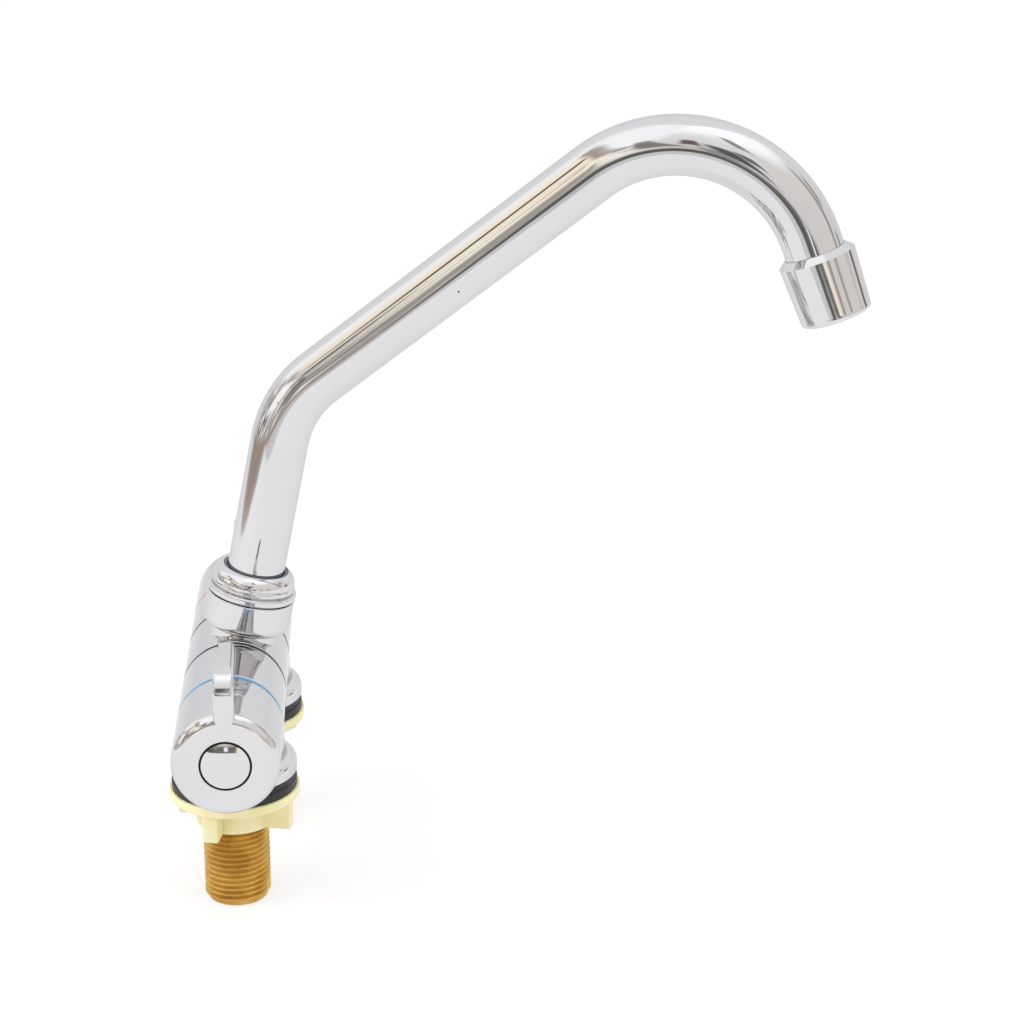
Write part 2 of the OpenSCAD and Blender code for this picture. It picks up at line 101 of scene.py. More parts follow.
def srgb(red: int, green: int, blue: int) -> Colour:
    """Turns a screen colour into a linear one.

    Args:
        red: Red from 0 to 255.
        green: Green from 0 to 255.
        blue: Blue from 0 to 255.

    Returns:
        The linear colour with an alpha of 1.
    """
    shares = (level / 255 for level in (red, green, blue))
    linear = [((c + 0.055) / 1.055) ** 2.4 if c > 0.04045 else c / 12.92 for c in shares]
    return (linear[0], linear[1], linear[2], 1.0)


def grey(level: float) -> Colour:
    """A linear grey."""
    return (level, level, level, 1.0)


class Value:
    """A number on a shader socket, so that shader maths reads as Python."""

    def __init__(self, graph: "Graph", socket: bpy.types.NodeSocket) -> None:
        """Wraps a socket of a graph."""
        self.graph = graph
        self.socket = socket

    def _math(self, operation: str, *operands: "Value | float") -> "Value":
        """Adds a Math node.

        Args:
            operation: The Math node's operation.
            operands: Values or numbers in the order of its sockets.

        Returns:
            The node's result.
        """
        return self.graph.value("ShaderNodeMath", {"operation": operation}, dict(enumerate(operands)))

    def __add__(self, other: "Value | float") -> "Value":
        """Sum."""
        return self._math("ADD", self, other)

    def __sub__(self, other: "Value | float") -> "Value":
        """Difference."""
        return self._math("SUBTRACT", self, other)

    def __rsub__(self, other: float) -> "Value":
        """Difference from a number."""
        return self._math("SUBTRACT", other, self)

    def __mul__(self, other: "Value | float") -> "Value":
        """Product."""
        return self._math("MULTIPLY", self, other)

    def __gt__(self, other: float) -> "Value":
        """1 where the value is greater."""
        return self._math("GREATER_THAN", self, other)

    def union(self, other: "Value") -> "Value":
        """The larger of two values."""
        return self._math("MAXIMUM", self, other)

    def size(self) -> "Value":
        """The value without its sign."""
        return self._math("ABSOLUTE", self)

    def arcsine(self) -> "Value":
        """Angle whose sine is the value, in radians."""
        return self._math("ARCSINE", self)

    def bearing(self, ahead: "Value") -> "Value":
        """Angle of a direction that goes this far sideways and that far ahead, in radians."""
        return self._math("ARCTAN2", self, ahead)

    def step(self, low: float, high: float) -> "Value":
        """Smooth step that is 0 at low and 1 at high.

        Args:
            low: Where it starts; may be the larger number.
            high: Where it ends.

        Returns:
            A value from 0 to 1.
        """
        settings = {"interpolation_type": "SMOOTHSTEP"}
        if low < high:
            return self.graph.value("ShaderNodeMapRange", settings, {0: self, 1: low, 2: high})
        return 1 - self.graph.value("ShaderNodeMapRange", settings, {0: self, 1: high, 2: low})

    __radd__ = __add__
    __rmul__ = __mul__


class Graph:
    """A node tree that is filled from Python expressions."""

    def __init__(self, tree: bpy.types.NodeTree) -> None:
        """Empties a node tree and takes it over."""
        self.tree = tree
        tree.nodes.clear()

    def node(self, kind: str, settings: dict[str, Any] | None = None,
             sockets: dict[int | str, Any] | None = None) -> bpy.types.Node:
        """Adds a node.

        Args:
            kind: The node's type.
            settings: Its own settings, set first; stops are those of a colour ramp.
            sockets: Numbers, colours, values or sockets for its inputs.

        Returns:
            The node.
        """
        made = self.tree.nodes.new(kind)
        for key, value in (settings or {}).items():
            if key == "stops":
                self._stops(made, value)
            else:
                setattr(made, key, value)
        for key, value in (sockets or {}).items():
            if isinstance(value, Value):
                value = value.socket
            if isinstance(value, bpy.types.NodeSocket):
                self.tree.links.new(value, made.inputs[key])
            else:
                made.inputs[key].default_value = value
        return made

    @staticmethod
    def _stops(ramp: bpy.types.Node, stops: list[tuple[float, Colour]]) -> None:
        """Gives a colour ramp its stops."""
        elements = ramp.color_ramp.elements
        while len(elements) < len(stops):
            elements.new(1.0)
        for element, (place, colour) in zip(elements, stops):
            element.position = place
            element.color = colour

    def value(self, kind: str, settings: dict[str, Any] | None = None,
              sockets: dict[int | str, Any] | None = None) -> Value:
        """Adds a node and wraps its first output as a value."""
        return Value(self, self.node(kind, settings, sockets).outputs[0])

    def place(self) -> bpy.types.NodeSocket:
        """Place on the object, in metres."""
        return self.node("ShaderNodeTexCoord").outputs["Object"]

    def noise(self, place: bpy.types.NodeSocket, size_mm: float, detail: float = 2.0) -> Value:
        """Noise with features of a size.

        Args:
            place: Coordinates in metres.
            size_mm: Rough size of a feature.
            detail: Octaves of finer detail.

        Returns:
            A value around 0.5.
        """
        sockets = {"Vector": place, "Scale": 1 / (size_mm * MM), "Detail": detail}
        return self.value("ShaderNodeTexNoise", {}, sockets)

    def mix(self, factor: "Value | float", first: Any, second: Any) -> bpy.types.NodeSocket:
        """Mixes two colours.

        Args:
            factor: 0 for the first, 1 for the second.
            first: A colour or a colour socket.
            second: A colour or a colour socket.

        Returns:
            The mixed colour.
        """
        made = self.node("ShaderNodeMix", {"data_type": "RGBA"}, {0: factor, 6: first, 7: second})
        return made.outputs[2]

    def bump(self, height: Value, depth_mm: float) -> bpy.types.NodeSocket:
        """Normal of a surface that is raised by a height from 0 to 1 times a depth."""
        sockets = {"Strength": 1.0, "Distance": depth_mm * MM, "Height": height}
        return self.node("ShaderNodeBump", {}, sockets).outputs[0]


@dataclass(frozen=True)
class Finish:
    """A surface finish, made into a material once."""

    name: str
    slot: Slot

    def shade(self, graph: Graph) -> dict[str, Any]:
        """Builds what feeds the shader; each finish has its own."""
        raise NotImplementedError

    def material(self) -> bpy.types.Material:
        """Makes the material, or finds the one made before.

        Returns:
            The material.
        """
        found = bpy.data.materials.get(self.name)
        if found:
            return found
        made = bpy.data.materials.new(self.name)
        made.use_nodes = True
        graph = Graph(made.node_tree)
        shader = graph.node("ShaderNodeBsdfPrincipled", {}, self.shade(graph))
        graph.node("ShaderNodeOutputMaterial", {}, {"Surface": shader.outputs[0]})
        return made


@dataclass(frozen=True)
class Chrome(Finish):
    """Bright chrome plate with a faint ripple and a few pits."""

    ripple_mm: float = 0.006
    pit_share: float = 0.985

    def shade(self, graph: Graph) -> dict[str, Any]:
        """Builds the plate's colour, gloss, ripple and pits."""
        place = graph.place()
        film = graph.noise(place, 22, 3)
        tint = graph.mix(film, (0.66, 0.66, 0.675, 1), (0.70, 0.70, 0.715, 1))
        cells = graph.node("ShaderNodeTexVoronoi", {}, {"Vector": place, "Scale": 180.0})
        rare = graph.value("ShaderNodeSeparateColor", {}, {0: cells.outputs["Color"]}) > self.pit_share
        pit = rare * Value(graph, cells.outputs["Distance"]).step(0.09, 0.05)
        ripple = graph.noise(place, 9, 1)
        return {
            "Base Color": graph.mix(pit, tint, (0.10, 0.10, 0.10, 1)),
            "Metallic": 1.0,
            "Specular Tint": (0.78, 0.785, 0.80, 1),
            "Roughness": 0.035 + 0.05 * film * film + 0.3 * pit,
            "Normal": graph.bump(ripple, self.ripple_mm),
        }


@dataclass(frozen=True)
class TurnedBrass(Finish):
    """Bare turned brass, a little tarnished."""

    def shade(self, graph: Graph) -> dict[str, Any]:
        """Builds tarnish, turning marks and gloss."""
        place = graph.place()
        tarnish = graph.noise(place, 7, 4).step(0.35, 0.7)
        squeezed = graph.node("ShaderNodeMapping", {}, {"Vector": place, "Scale": (1.0, 1.0, 14.0)})
        marks = graph.noise(squeezed.outputs[0], 3.5, 2)
        return {
            "Base Color": graph.mix(tarnish, srgb(217, 179, 100), srgb(196, 153, 74)),
            "Metallic": 0.85,
            "Roughness": 0.30 + 0.14 * tarnish + 0.08 * marks,
            "Normal": graph.bump(marks, 0.03),
        }


@dataclass(frozen=True)
class Moulded(Finish):
    """Moulded plastic with a fine spark-eroded grain."""

    pale: Colour = (1, 1, 1, 1)
    deep: Colour = (1, 1, 1, 1)
    gloss: float = 0.42
    grain_mm: float = 0.02

    def shade(self, graph: Graph) -> dict[str, Any]:
        """Builds the flow clouds and grain of the moulding."""
        place = graph.place()
        clouds = graph.noise(place, 11, 3).step(0.3, 0.7)
        grain = graph.noise(place, 0.5, 2)
        return {
            "Base Color": graph.mix(clouds, self.pale, self.deep),
            "Roughness": self.gloss + 0.12 * grain,
            "Normal": graph.bump(grain, self.grain_mm),
        }


@dataclass(frozen=True)
class Rubber(Finish):
    """Black moulded rubber with a faint bloom."""

    def shade(self, graph: Graph) -> dict[str, Any]:
        """Builds bloom and grain."""
        place = graph.place()
        bloom = graph.noise(place, 6, 4).step(0.45, 0.75)
        grain = graph.noise(place, 0.4, 2)
        return {
            "Base Color": graph.mix(bloom, (0.011, 0.011, 0.012, 1), (0.028, 0.027, 0.028, 1)),
            "Roughness": 0.42 + 0.2 * grain,
            "Normal": graph.bump(grain, 0.02),
        }


@dataclass(frozen=True)
class Zinc(Finish):
    """Zinc plated steel."""

    def shade(self, graph: Graph) -> dict[str, Any]:
        """Builds the spangle of the plating."""
        place = graph.place()
        spangle = graph.noise(place, 1.2, 3)
        return {
            "Base Color": graph.mix(spangle, (0.42, 0.42, 0.44, 1), (0.60, 0.60, 0.61, 1)),
            "Metallic": 1.0,
            "Roughness": 0.25 + 0.2 * spangle,
        }


CHROME = Chrome("bright_chrome", Slot.CHROME)
TUBE_CHROME = Chrome("tube_chrome", Slot.CHROME, 0.012, 0.93)
CAST_CHROME = Chrome("cast_chrome", Slot.CHROME, 0.03, 0.985)
BRASS = TurnedBrass("turned_brass", Slot.BRASS)
RUBBER = Rubber("black_rubber", Slot.RUBBER)
CREAM = Moulded("cream_nylon", Slot.CREAM, srgb(240, 234, 190), srgb(233, 224, 170), 0.38, 0.015)
ACETAL = Moulded("grey_acetal", Slot.ACETAL, srgb(112, 112, 120), srgb(96, 96, 104), 0.4, 0.01)
# Black for the cap's clip ring: the black is painted shade for the gap round the cap.
CLIP_GAP_SHADE = Moulded("clip_gap_shade", Slot.ACETAL, srgb(24, 24, 26), srgb(14, 14, 15), 0.5, 0.01)
CERAMIC = Moulded("lapped_ceramic", Slot.CERAMIC, srgb(244, 243, 238), srgb(236, 235, 228), 0.16, 0.002)
BLUE = Moulded("blue_index", Slot.BLUE, srgb(80, 164, 206), srgb(62, 147, 196), 0.25, 0.006)
RED = Moulded("red_index", Slot.RED, srgb(214, 48, 44), srgb(196, 34, 34), 0.25, 0.006)
STEEL = Zinc("zinc_steel", Slot.STEEL)


def round_edges(shape: bmesh.types.BMesh, edges: list[bmesh.types.BMEdge], radius: float,
                segments: int) -> None:
    """Rounds edges of a shape.

    Args:
        shape: The shape.
        edges: Its edges.
        radius: Radius of the rounding.
        segments: Faces across the rounding.
    """
    bmesh.ops.bevel(shape, geom=edges, offset=radius, offset_type="OFFSET", affect="EDGES",
                    segments=segments, profile=0.5, material=-1)


def only(parts: list[Any], kind: type) -> list[Any]:
    """The parts of an operator's result that are of one kind."""
    return [part for part in parts if isinstance(part, kind)]


class Blank:
    """Stock in millimetres that bmesh operators shape into one piece."""

    def __init__(self) -> None:
        """Starts with no stock."""
        self.bm = bmesh.new()

    def take(self, shape: bmesh.types.BMesh, place: Matrix) -> None:
        """Adds a shape and frees it.

        Args:
            shape: A closed shape.
            place: Where it goes.
        """
        bmesh.ops.transform(shape, matrix=place, verts=shape.verts)
        carrier = bpy.data.meshes.new("carrier")
        shape.to_mesh(carrier)
        shape.free()
        self.bm.from_mesh(carrier)
        bpy.data.meshes.remove(carrier)

    def turned(self, corners: list[Corner], place: Matrix, steps: int = 128) -> None:
        """Adds a turned shape.

        Args:
            corners: Radius, station and rounding of each corner of its closed profile.
            place: Takes the turning axis from +Z to where it goes.
            steps: Faces round the axis.
        """
        shape = bmesh.new()
        verts = [shape.verts.new((radius, 0, station)) for radius, station, _ in corners]
        shape.faces.new(verts)
        for vert, (_, _, rounding) in zip(verts, corners):
            if rounding:
                bmesh.ops.bevel(shape, geom=[vert], offset=rounding, offset_type="OFFSET",
                                affect="VERTICES", segments=8, profile=0.5, material=-1)
        bmesh.ops.delete(shape, geom=shape.faces[:], context="FACES_ONLY")
        bmesh.ops.spin(shape, geom=shape.verts[:] + shape.edges[:], cent=(0, 0, 0), axis=(0, 0, 1),
                       angle=TURN, steps=steps, use_merge=True)
        self.take(shape, place)

    def piece(self, name: str, finish: Finish, body: Body, *nodes: str) -> None:
        """Finishes the stock into a piece that rides on a body.

        Args:
            name: The piece's name.
            finish: What it is finished in.
            body: The body that it moves with.
            nodes: Solids that it stands for.
        """
        bm = self.bm
        bmesh.ops.remove_doubles(bm, verts=bm.verts, dist=0.0005)
        bmesh.ops.dissolve_degenerate(bm, edges=bm.edges, dist=0.0001)
        bmesh.ops.recalc_face_normals(bm, faces=bm.faces)
        bmesh.ops.scale(bm, vec=(MM, MM, MM), verts=bm.verts)
        for face in bm.faces:
            face.smooth = True
        mesh = bpy.data.meshes.new(name)
        bm.to_mesh(mesh)
        bm.free()
        mesh.set_sharp_from_angle(angle=math.radians(35))
        thing = bpy.data.objects.new(name, mesh)
        bpy.context.scene.collection.objects.link(thing)
        even = thing.modifiers.new("even_normals", "WEIGHTED_NORMAL")
        even.keep_sharp = True
        put_on(thing, finish)
        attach(thing, body.value)
        if nodes:
            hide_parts(*nodes)


def put_on(thing: bpy.types.Object, finish: Finish) -> None:
    """Gives an object a finish.

    Args:
        thing: A piece or a solid.
        finish: What it is finished in.
    """
    thing.data.materials.clear()
    thing.data.materials.append(finish.material())
    LOG.info("%s in %s", thing.name, finish.name)


def both(part: str, finish: Finish) -> dict[str, Finish]:
    """The same finish for the two ends' solids of a kind."""
    return {side.node(part): finish for side in Side}


@dataclass
class SolidSet:
    """A sub-assembly whose solids keep their shape and get a finish."""

    finishes: dict[str, Finish]

    def dress(self) -> None:
        """Puts each solid's finish on it."""
        for node, finish in self.finishes.items():
            put_on(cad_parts[node], finish)


@dataclass
class Handle:
    """A handle: turned cup, lever with rounded edges, domed cap and its clip ring, whose black is
    painted shade in the gap round the cap.
    """

    side: Side
    axis_z: float = 25.0
    back: float = 43.15
    face: float = 72.0
    radius: float = 16.5
    face_round: float = 3.0
    cup_radius: float = 13.2
    cup_floor: float = 54.8
    drive_radius: float = 4.05
    drive_end: float = 60.1
    screw_radius: float = 2.1
    recess_radius: float = 7.95
    recess_floor: float = 66.5
    lever_back: float = 44.65
    lever_base: float = 12.0
    lever_top: float = 29.4
    lever_front_width: float = 6.4
    lever_back_width: float = 4.8
    lever_nose: float = 7.5
    lever_heel: float = 2.0
    lever_edge: float = 1.1
    lever_set: float = 0.01
    cap_radius: float = 7.3
    cap_rise: float = 0.85
    cap_base: float = 70.6
    clip_low: float = 69.2
    clip_high: float = 71.0
    clip_lap: float = 1.3
    clip_gap: float = 0.02

    def build(self) -> None:
        """Makes the handle's pieces."""
        shell = Blank()
        self._cup(shell)
        self._lever(shell)
        shell.piece(self.side.node("lever_handle"), CHROME, self.side.lever(), self.side.node("handle"))
        dome = Blank()
        self._dome(dome)
        dome.piece(self.side.node("domed_cap"), CHROME, self.side.lever(), self.side.node("cap"))
        # The clip ring fills the gap round the cap, and its black paints the shade in that gap.
        clip = Blank()
        inner, outer = self.cap_radius - self.clip_lap, self.recess_radius - self.clip_gap
        clip.turned([
            (inner, self.clip_low, 0), (outer, self.clip_low, 0.2), (outer, self.clip_high, 0.2),
            (inner, self.clip_high, 0)], self._place())
        clip.piece(self.side.node("cap_clip"), CLIP_GAP_SHADE, self.side.lever())

    def _place(self) -> Matrix:
        """Takes +Z to the body axis, outwards on this side."""
        outwards = Matrix.Rotation(-self.side.value * TURN / 4, 4, "X")
        return Matrix.Translation((0, 0, self.axis_z)) @ outwards

    def _cup(self, blank: Blank) -> None:
        """Turns the cup with its drive bore and cap recess."""
        blank.turned([
            (self.drive_radius, self.cup_floor, 0), (self.cup_radius, self.cup_floor, 0.8),
            (self.cup_radius, self.back, 0.3), (self.radius, self.back, 0.4),
            (self.radius, self.face, self.face_round), (self.recess_radius, self.face, 0.15),
            (self.recess_radius, self.recess_floor, 0), (self.screw_radius, self.recess_floor, 0),
            (self.screw_radius, self.drive_end, 0), (self.drive_radius, self.drive_end, 0)],
            self._place(), steps=160)

    def _lever(self, blank: Blank) -> None:
        """Shapes the lever from a block: taper, rounded nose and heel, then rounded edges."""
        shape = bmesh.new()
        bmesh.ops.create_cube(shape, size=1)
        front = self.face - self.lever_set
        size = (self.lever_front_width, front - self.lever_back, self.lever_top - self.lever_base)
        middle = (0, (front + self.lever_back) / 2, (self.lever_top + self.lever_base) / 2)
        bmesh.ops.scale(shape, vec=size, verts=shape.verts)
        bmesh.ops.translate(shape, vec=middle, verts=shape.verts)
        narrow = (self.lever_back_width / self.lever_front_width, 1, 1)
        bmesh.ops.scale(shape, vec=narrow, verts=[v for v in shape.verts if v.co.y < middle[1]])
        tops = [e for e in shape.edges if all(v.co.z > middle[2] for v in e.verts)
                and abs(e.verts[0].co.y - e.verts[1].co.y) < NEAR]
        for edge in tops:
            rounding = self.lever_nose if edge.verts[0].co.y > middle[1] else self.lever_heel
            round_edges(shape, [edge], rounding, 14)
        shape.normal_update()
        rims = [e for e in shape.edges
                if len(e.link_faces) == 2 and max(v.co.z for v in e.verts) > self.lever_base + NEAR
                and sum(abs(f.normal.x) > 0.9 for f in e.link_faces) == 1]
        round_edges(shape, rims, self.lever_edge, 6)
        place = Matrix.Translation((0, 0, self.axis_z)) @ Matrix.Diagonal((1, self.side.value, 1, 1))
        blank.take(shape, place)

    def _dome(self, blank: Blank) -> None:
        """Spins the cap: an arc from its pole to its rim, then the rim down to its base."""
        shape = bmesh.new()
        ball = (self.cap_radius ** 2 + self.cap_rise ** 2) / (2 * self.cap_rise)
        pole = shape.verts.new((0, 0, self.face + self.cap_rise))
        arc = bmesh.ops.spin(shape, geom=[pole], cent=(0, 0, pole.co.z - ball), axis=(0, 1, 0),
                             angle=math.asin(self.cap_radius / ball), steps=14)
        rim = only(arc["geom_last"], bmesh.types.BMVert)[0]
        for corner in ((self.cap_radius, 0, self.cap_base), (0, 0, self.cap_base)):
            fresh = shape.verts.new(corner)
            shape.edges.new((rim, fresh))
            rim = fresh
        bmesh.ops.spin(shape, geom=shape.verts[:] + shape.edges[:], cent=(0, 0, 0), axis=(0, 0, 1),
                       angle=TURN, steps=128, use_merge=True)
        blank.take(shape, self._place())


@dataclass
class Inlet:
    """A brass tail with a helical pipe thread, and its winged backnut."""

    side: Side
    wing_turn: float
    spacing: float = 60.0
    thread_radius: float = 10.4775
    pitch: float = 1.814
    depth: float = 1.16
    thread_lead: float = 1.3
    thread_foot: float = 0.48
    thread_bite: float = 0.25
    turn_steps: int = 80
    shank_radius: float = 10.2975
    bore_radius: float = 7.2
    end: float = -38.5
    top: float = 15.4
    nut_height: float = 12.4
    flange_radius: float = 20.5
    flange_thick: float = 3.2
    hub_radius: float = 12.3
    wing_thick: float = 5.0
    wing_off: float = 3.5
    wing_root: float = 0.6
    wing_inset: float = 0.55
    wing_lift: float = 0.15
    wing_round: float = 0.6
    wing_count: int = 4

    def build(self) -> None:
        """Makes tail and backnut."""
        tail = Blank()
        core = self.thread_radius - self.depth
        tail.turned([
            (self.bore_radius, self.end, 0.3), (core + 0.2, self.end, 0.5), (core, self.end + 0.9, 0),
            (core, -self.nut_height - 0.3, 0), (self.shank_radius, -self.nut_height, 0),
            (self.shank_radius, self.top, 0.3), (self.bore_radius, self.top, 0.3)], self._place())
        self._thread(tail, core)
        tail.piece(self.side.node("threaded_tail"), BRASS, Body.BASE, self.side.node("tail"))
        nut = Blank()
        bore, low = self.shank_radius + 0.02, -self.nut_height
        nut.turned([
            (bore, 0, 0.2), (self.flange_radius, 0, 0.4), (self.flange_radius, -self.flange_thick, 0.9),
            (self.hub_radius, -self.flange_thick, 0.8), (self.hub_radius, low, 0.7), (bore, low, 0.4)],
            self._place())
        for number in range(self.wing_count):
            self._wing(nut, self.wing_turn - 90 + number * 360 / self.wing_count)
        nut.piece(self.side.node("winged_nut"), CREAM, Body.BASE, self.side.node("backnut"))

    def _place(self) -> Matrix:
        """Puts a shape on this inlet's axis."""
        return Matrix.Translation((0, self.side.value * self.spacing / 2, 0))

    def _thread(self, blank: Blank, core: float) -> None:
        """Winds the thread: its section is spun upwards along a right-hand helix.

        Args:
            blank: The tail.
            core: Radius under the thread.
        """
        shape = bmesh.new()
        foot, inside = self.thread_foot * self.pitch, core - self.thread_bite
        middle = self.end + self.thread_lead
        shares = [k / 5 for k in range(-5, 6)]
        flank = [(core + self.depth * (0.5 + 0.5 * math.cos(math.pi * share)), middle + foot * share)
                 for share in shares]
        corners = [(inside, middle - foot), *flank, (inside, middle + foot)]
        loop = [shape.verts.new((0, radius, height)) for radius, height in corners]
        for first, second in zip(loop, loop[1:] + loop[:1]):
            shape.edges.new((first, second))
        turns = (-self.nut_height - middle - foot) / self.pitch
        steps = round(turns * self.turn_steps)
        bmesh.ops.spin(shape, geom=shape.verts[:] + shape.edges[:], cent=(0, 0, 0), axis=(0, 0, 1),
                       dvec=(0, 0, turns * self.pitch / steps), angle=turns * TURN, steps=steps)
        ends = [e for e in shape.edges if e.is_boundary]
        bmesh.ops.holes_fill(shape, edges=ends, sides=len(corners))
        blank.take(shape, self._place())

    def _wing(self, blank: Blank, angle: float) -> None:
        """Adds a wing with soft edges under the flange.

        Args:
            blank: The backnut.
            angle: Its direction from +X, in degrees.
        """
        shape = bmesh.new()
        bmesh.ops.create_cube(shape, size=1)
        side = self.wing_off + self.wing_thick / 2
        reach = (self.hub_radius - self.wing_root, self.flange_radius - self.wing_inset)
        inner, outer = (math.sqrt(radius ** 2 - side ** 2) for radius in reach)
        low, high = self.wing_lift - self.nut_height, self.wing_root - self.flange_thick
        middle = ((outer + inner) / 2, -self.wing_off, (high + low) / 2)
        bmesh.ops.scale(shape, vec=(outer - inner, self.wing_thick, high - low), verts=shape.verts)
        bmesh.ops.translate(shape, vec=middle, verts=shape.verts)
        soft = [e for e in shape.edges if any(v.co.x > middle[0] for v in e.verts)
                and any(v.co.z < middle[2] for v in e.verts)]
        round_edges(shape, soft, self.wing_round, 4)
        blank.take(shape, self._place() @ Matrix.Rotation(math.radians(angle), 4, "Z"))


@dataclass
class Spout:
    """The bent spout tube as one drawn wall, with no seams between straights and bends."""

    axis_z: float = 25.0
    fold: float = 11.5
    swivel: float = -12.0
    radius: float = 9.15
    wall: float = 1.0
    foot: float = 18.0
    rise: float = 80.0
    first_bend: float = 36.0
    first_angle: float = 40.3
    run: float = 108.0
    second_bend: float = 42.2
    second_angle: float = 107.6
    drop: float = 10.5

    def build(self) -> None:
        """Draws the outer wall and gives it its thickness inwards."""
        shape = bmesh.new()
        self._draw(shape)
        bmesh.ops.recalc_face_normals(shape, faces=shape.faces)
        bmesh.ops.solidify(shape, geom=shape.faces[:], thickness=self.wall)
        tube = Blank()
        turns = ((self.fold, "Y"), (self.swivel, "Z"))
        fold, swivel = (Matrix.Rotation(math.radians(angle), 4, axis) for angle, axis in turns)
        tube.take(shape, Matrix.Translation((0, 0, self.axis_z)) @ fold @ swivel)
        tube.piece("bent_spout", TUBE_CHROME, Body.SPOUT, "spout_tube")

    def _draw(self, shape: bmesh.types.BMesh) -> None:
        """Draws the outer wall along the spout's path.

        Args:
            shape: An empty mesh that it goes into.
        """
        bmesh.ops.create_circle(shape, cap_ends=False, segments=96, radius=self.radius)
        bmesh.ops.translate(shape, vec=(0, 0, self.foot), verts=shape.verts)
        point, edges, heading = Vector((0, 0, self.foot)), shape.edges[:], 0.0
        for length, bend, angle in ((self.rise - self.foot, self.first_bend, self.first_angle),
                                    (self.run, self.second_bend, self.second_angle), (self.drop, 0, 0)):
            along = Vector((math.sin(heading), 0, math.cos(heading)))
            pulled = bmesh.ops.extrude_edge_only(shape, edges=edges)["geom"]
            bmesh.ops.translate(shape, vec=along * length, verts=only(pulled, bmesh.types.BMVert))
            point = point + along * length
            edges = self._ring_at(only(pulled, bmesh.types.BMEdge), point)
            if angle:
                turn = math.radians(angle)
                centre = point + bend * Vector((math.cos(heading), 0, -math.sin(heading)))
                turned = bmesh.ops.spin(shape, geom=edges, cent=centre, axis=(0, 1, 0), angle=turn,
                                        steps=round(angle / 2))["geom_last"]
                edges = only(turned, bmesh.types.BMEdge)
                point = centre + Matrix.Rotation(turn, 3, "Y") @ (point - centre)
                heading += turn

    def _ring_at(self, edges: list[bmesh.types.BMEdge], point: Vector) -> list[bmesh.types.BMEdge]:
        """Those edges whose ends both lie on the ring round a point of the path."""
        return [e for e in edges if all((v.co - point).length < self.radius + NEAR for v in e.verts)]


def dress_solids() -> None:
    """Finishes the solids that keep their shape, one sub-assembly at a time."""
    SolidSet({**both("block", CHROME), "fold_hub": CHROME, "collar_nut": CHROME}).dress()
    SolidSet({**both("screw", STEEL), **both("seal", RUBBER)}).dress()
    SolidSet({"cold_index_ring": BLUE, "hot_index_ring": RED}).dress()
    SolidSet({"aerator_housing": CAST_CHROME, "aerator_washer": RUBBER, "aerator_insert": ACETAL,
              "spout_flange": BRASS}).dress()
    SolidSet({"wiper_ring": ACETAL, "spout_bush": ACETAL, "spout_o_rings": RUBBER,
              "axle_o_rings": RUBBER, "hub_washers": RUBBER, "fold_axle": BRASS}).dress()
    SolidSet({**both("cartridge", BRASS), **both("spindle", BRASS), **both("seat_seal", RUBBER),
              **both("fixed_disc", CERAMIC), **both("turning_disc", CERAMIC)}).dress()


class Ray(Enum):
    """Kinds of rays that look, straight or by way of metal and glass."""

    CAMERA = "Is Camera Ray"
    GLOSSY = "Is Glossy Ray"
    TRANSMITTED = "Is Transmission Ray"


def seen(graph: Graph, *rays: Ray) -> Value:
    """1 for rays of some kinds.

    Args:
        graph: The graph that asks.
        rays: The kinds; all of them when none is named.

    Returns:
        The mask.
    """
    path = graph.node("ShaderNodeLightPath")
    first, *others = (Value(graph, path.outputs[ray.value]) for ray in rays or Ray)
    for other in others:
        first = first.union(other)
    return first


@dataclass(frozen=True)
class Wall:
    """A side of the room as colours by height; the stops go upwards, in degrees."""

    stops: tuple[tuple[float, Colour], ...]

    def colour(self, graph: Graph, rise: Value) -> bpy.types.NodeSocket:
        """The wall's colour at a height."""
        ramp = [((degrees + 90) / 180, colour) for degrees, colour in self.stops]
        return graph.node("ShaderNodeValToRGB", {"stops": ramp}, {0: rise * (1 / 180) + 0.5}).outputs[0]


@dataclass(frozen=True)
class Patch:
    """Something in the room that the chrome mirrors, by its bearing and height in degrees."""

    turn: float
    half_turn: float
    rise: float
    half_rise: float
    colour: Colour
    share: float = 0.95
    lean: float = 0.0
    blur: float = 0.35

    def over(self, graph: Graph, under: bpy.types.NodeSocket, turn: Value,
             rise: Value) -> bpy.types.NodeSocket:
        """Lays the patch over what is behind it.

        Args:
            graph: The world's graph.
            under: Colour behind the patch.
            turn: Degrees from the way the cold handle faces, towards the spout's side.
            rise: Degrees above the horizon.

        Returns:
            The colour with the patch.
        """
        up = rise - self.rise
        off = turn - self.turn - up * self.lean if self.lean else turn - self.turn
        start, full = 1 + self.blur, 1 - self.blur
        wide = off.size().step(self.half_turn * start, self.half_turn * full)
        high = up.size().step(self.half_rise * start, self.half_rise * full)
        return graph.mix(wide * high * self.share, under, self.colour)


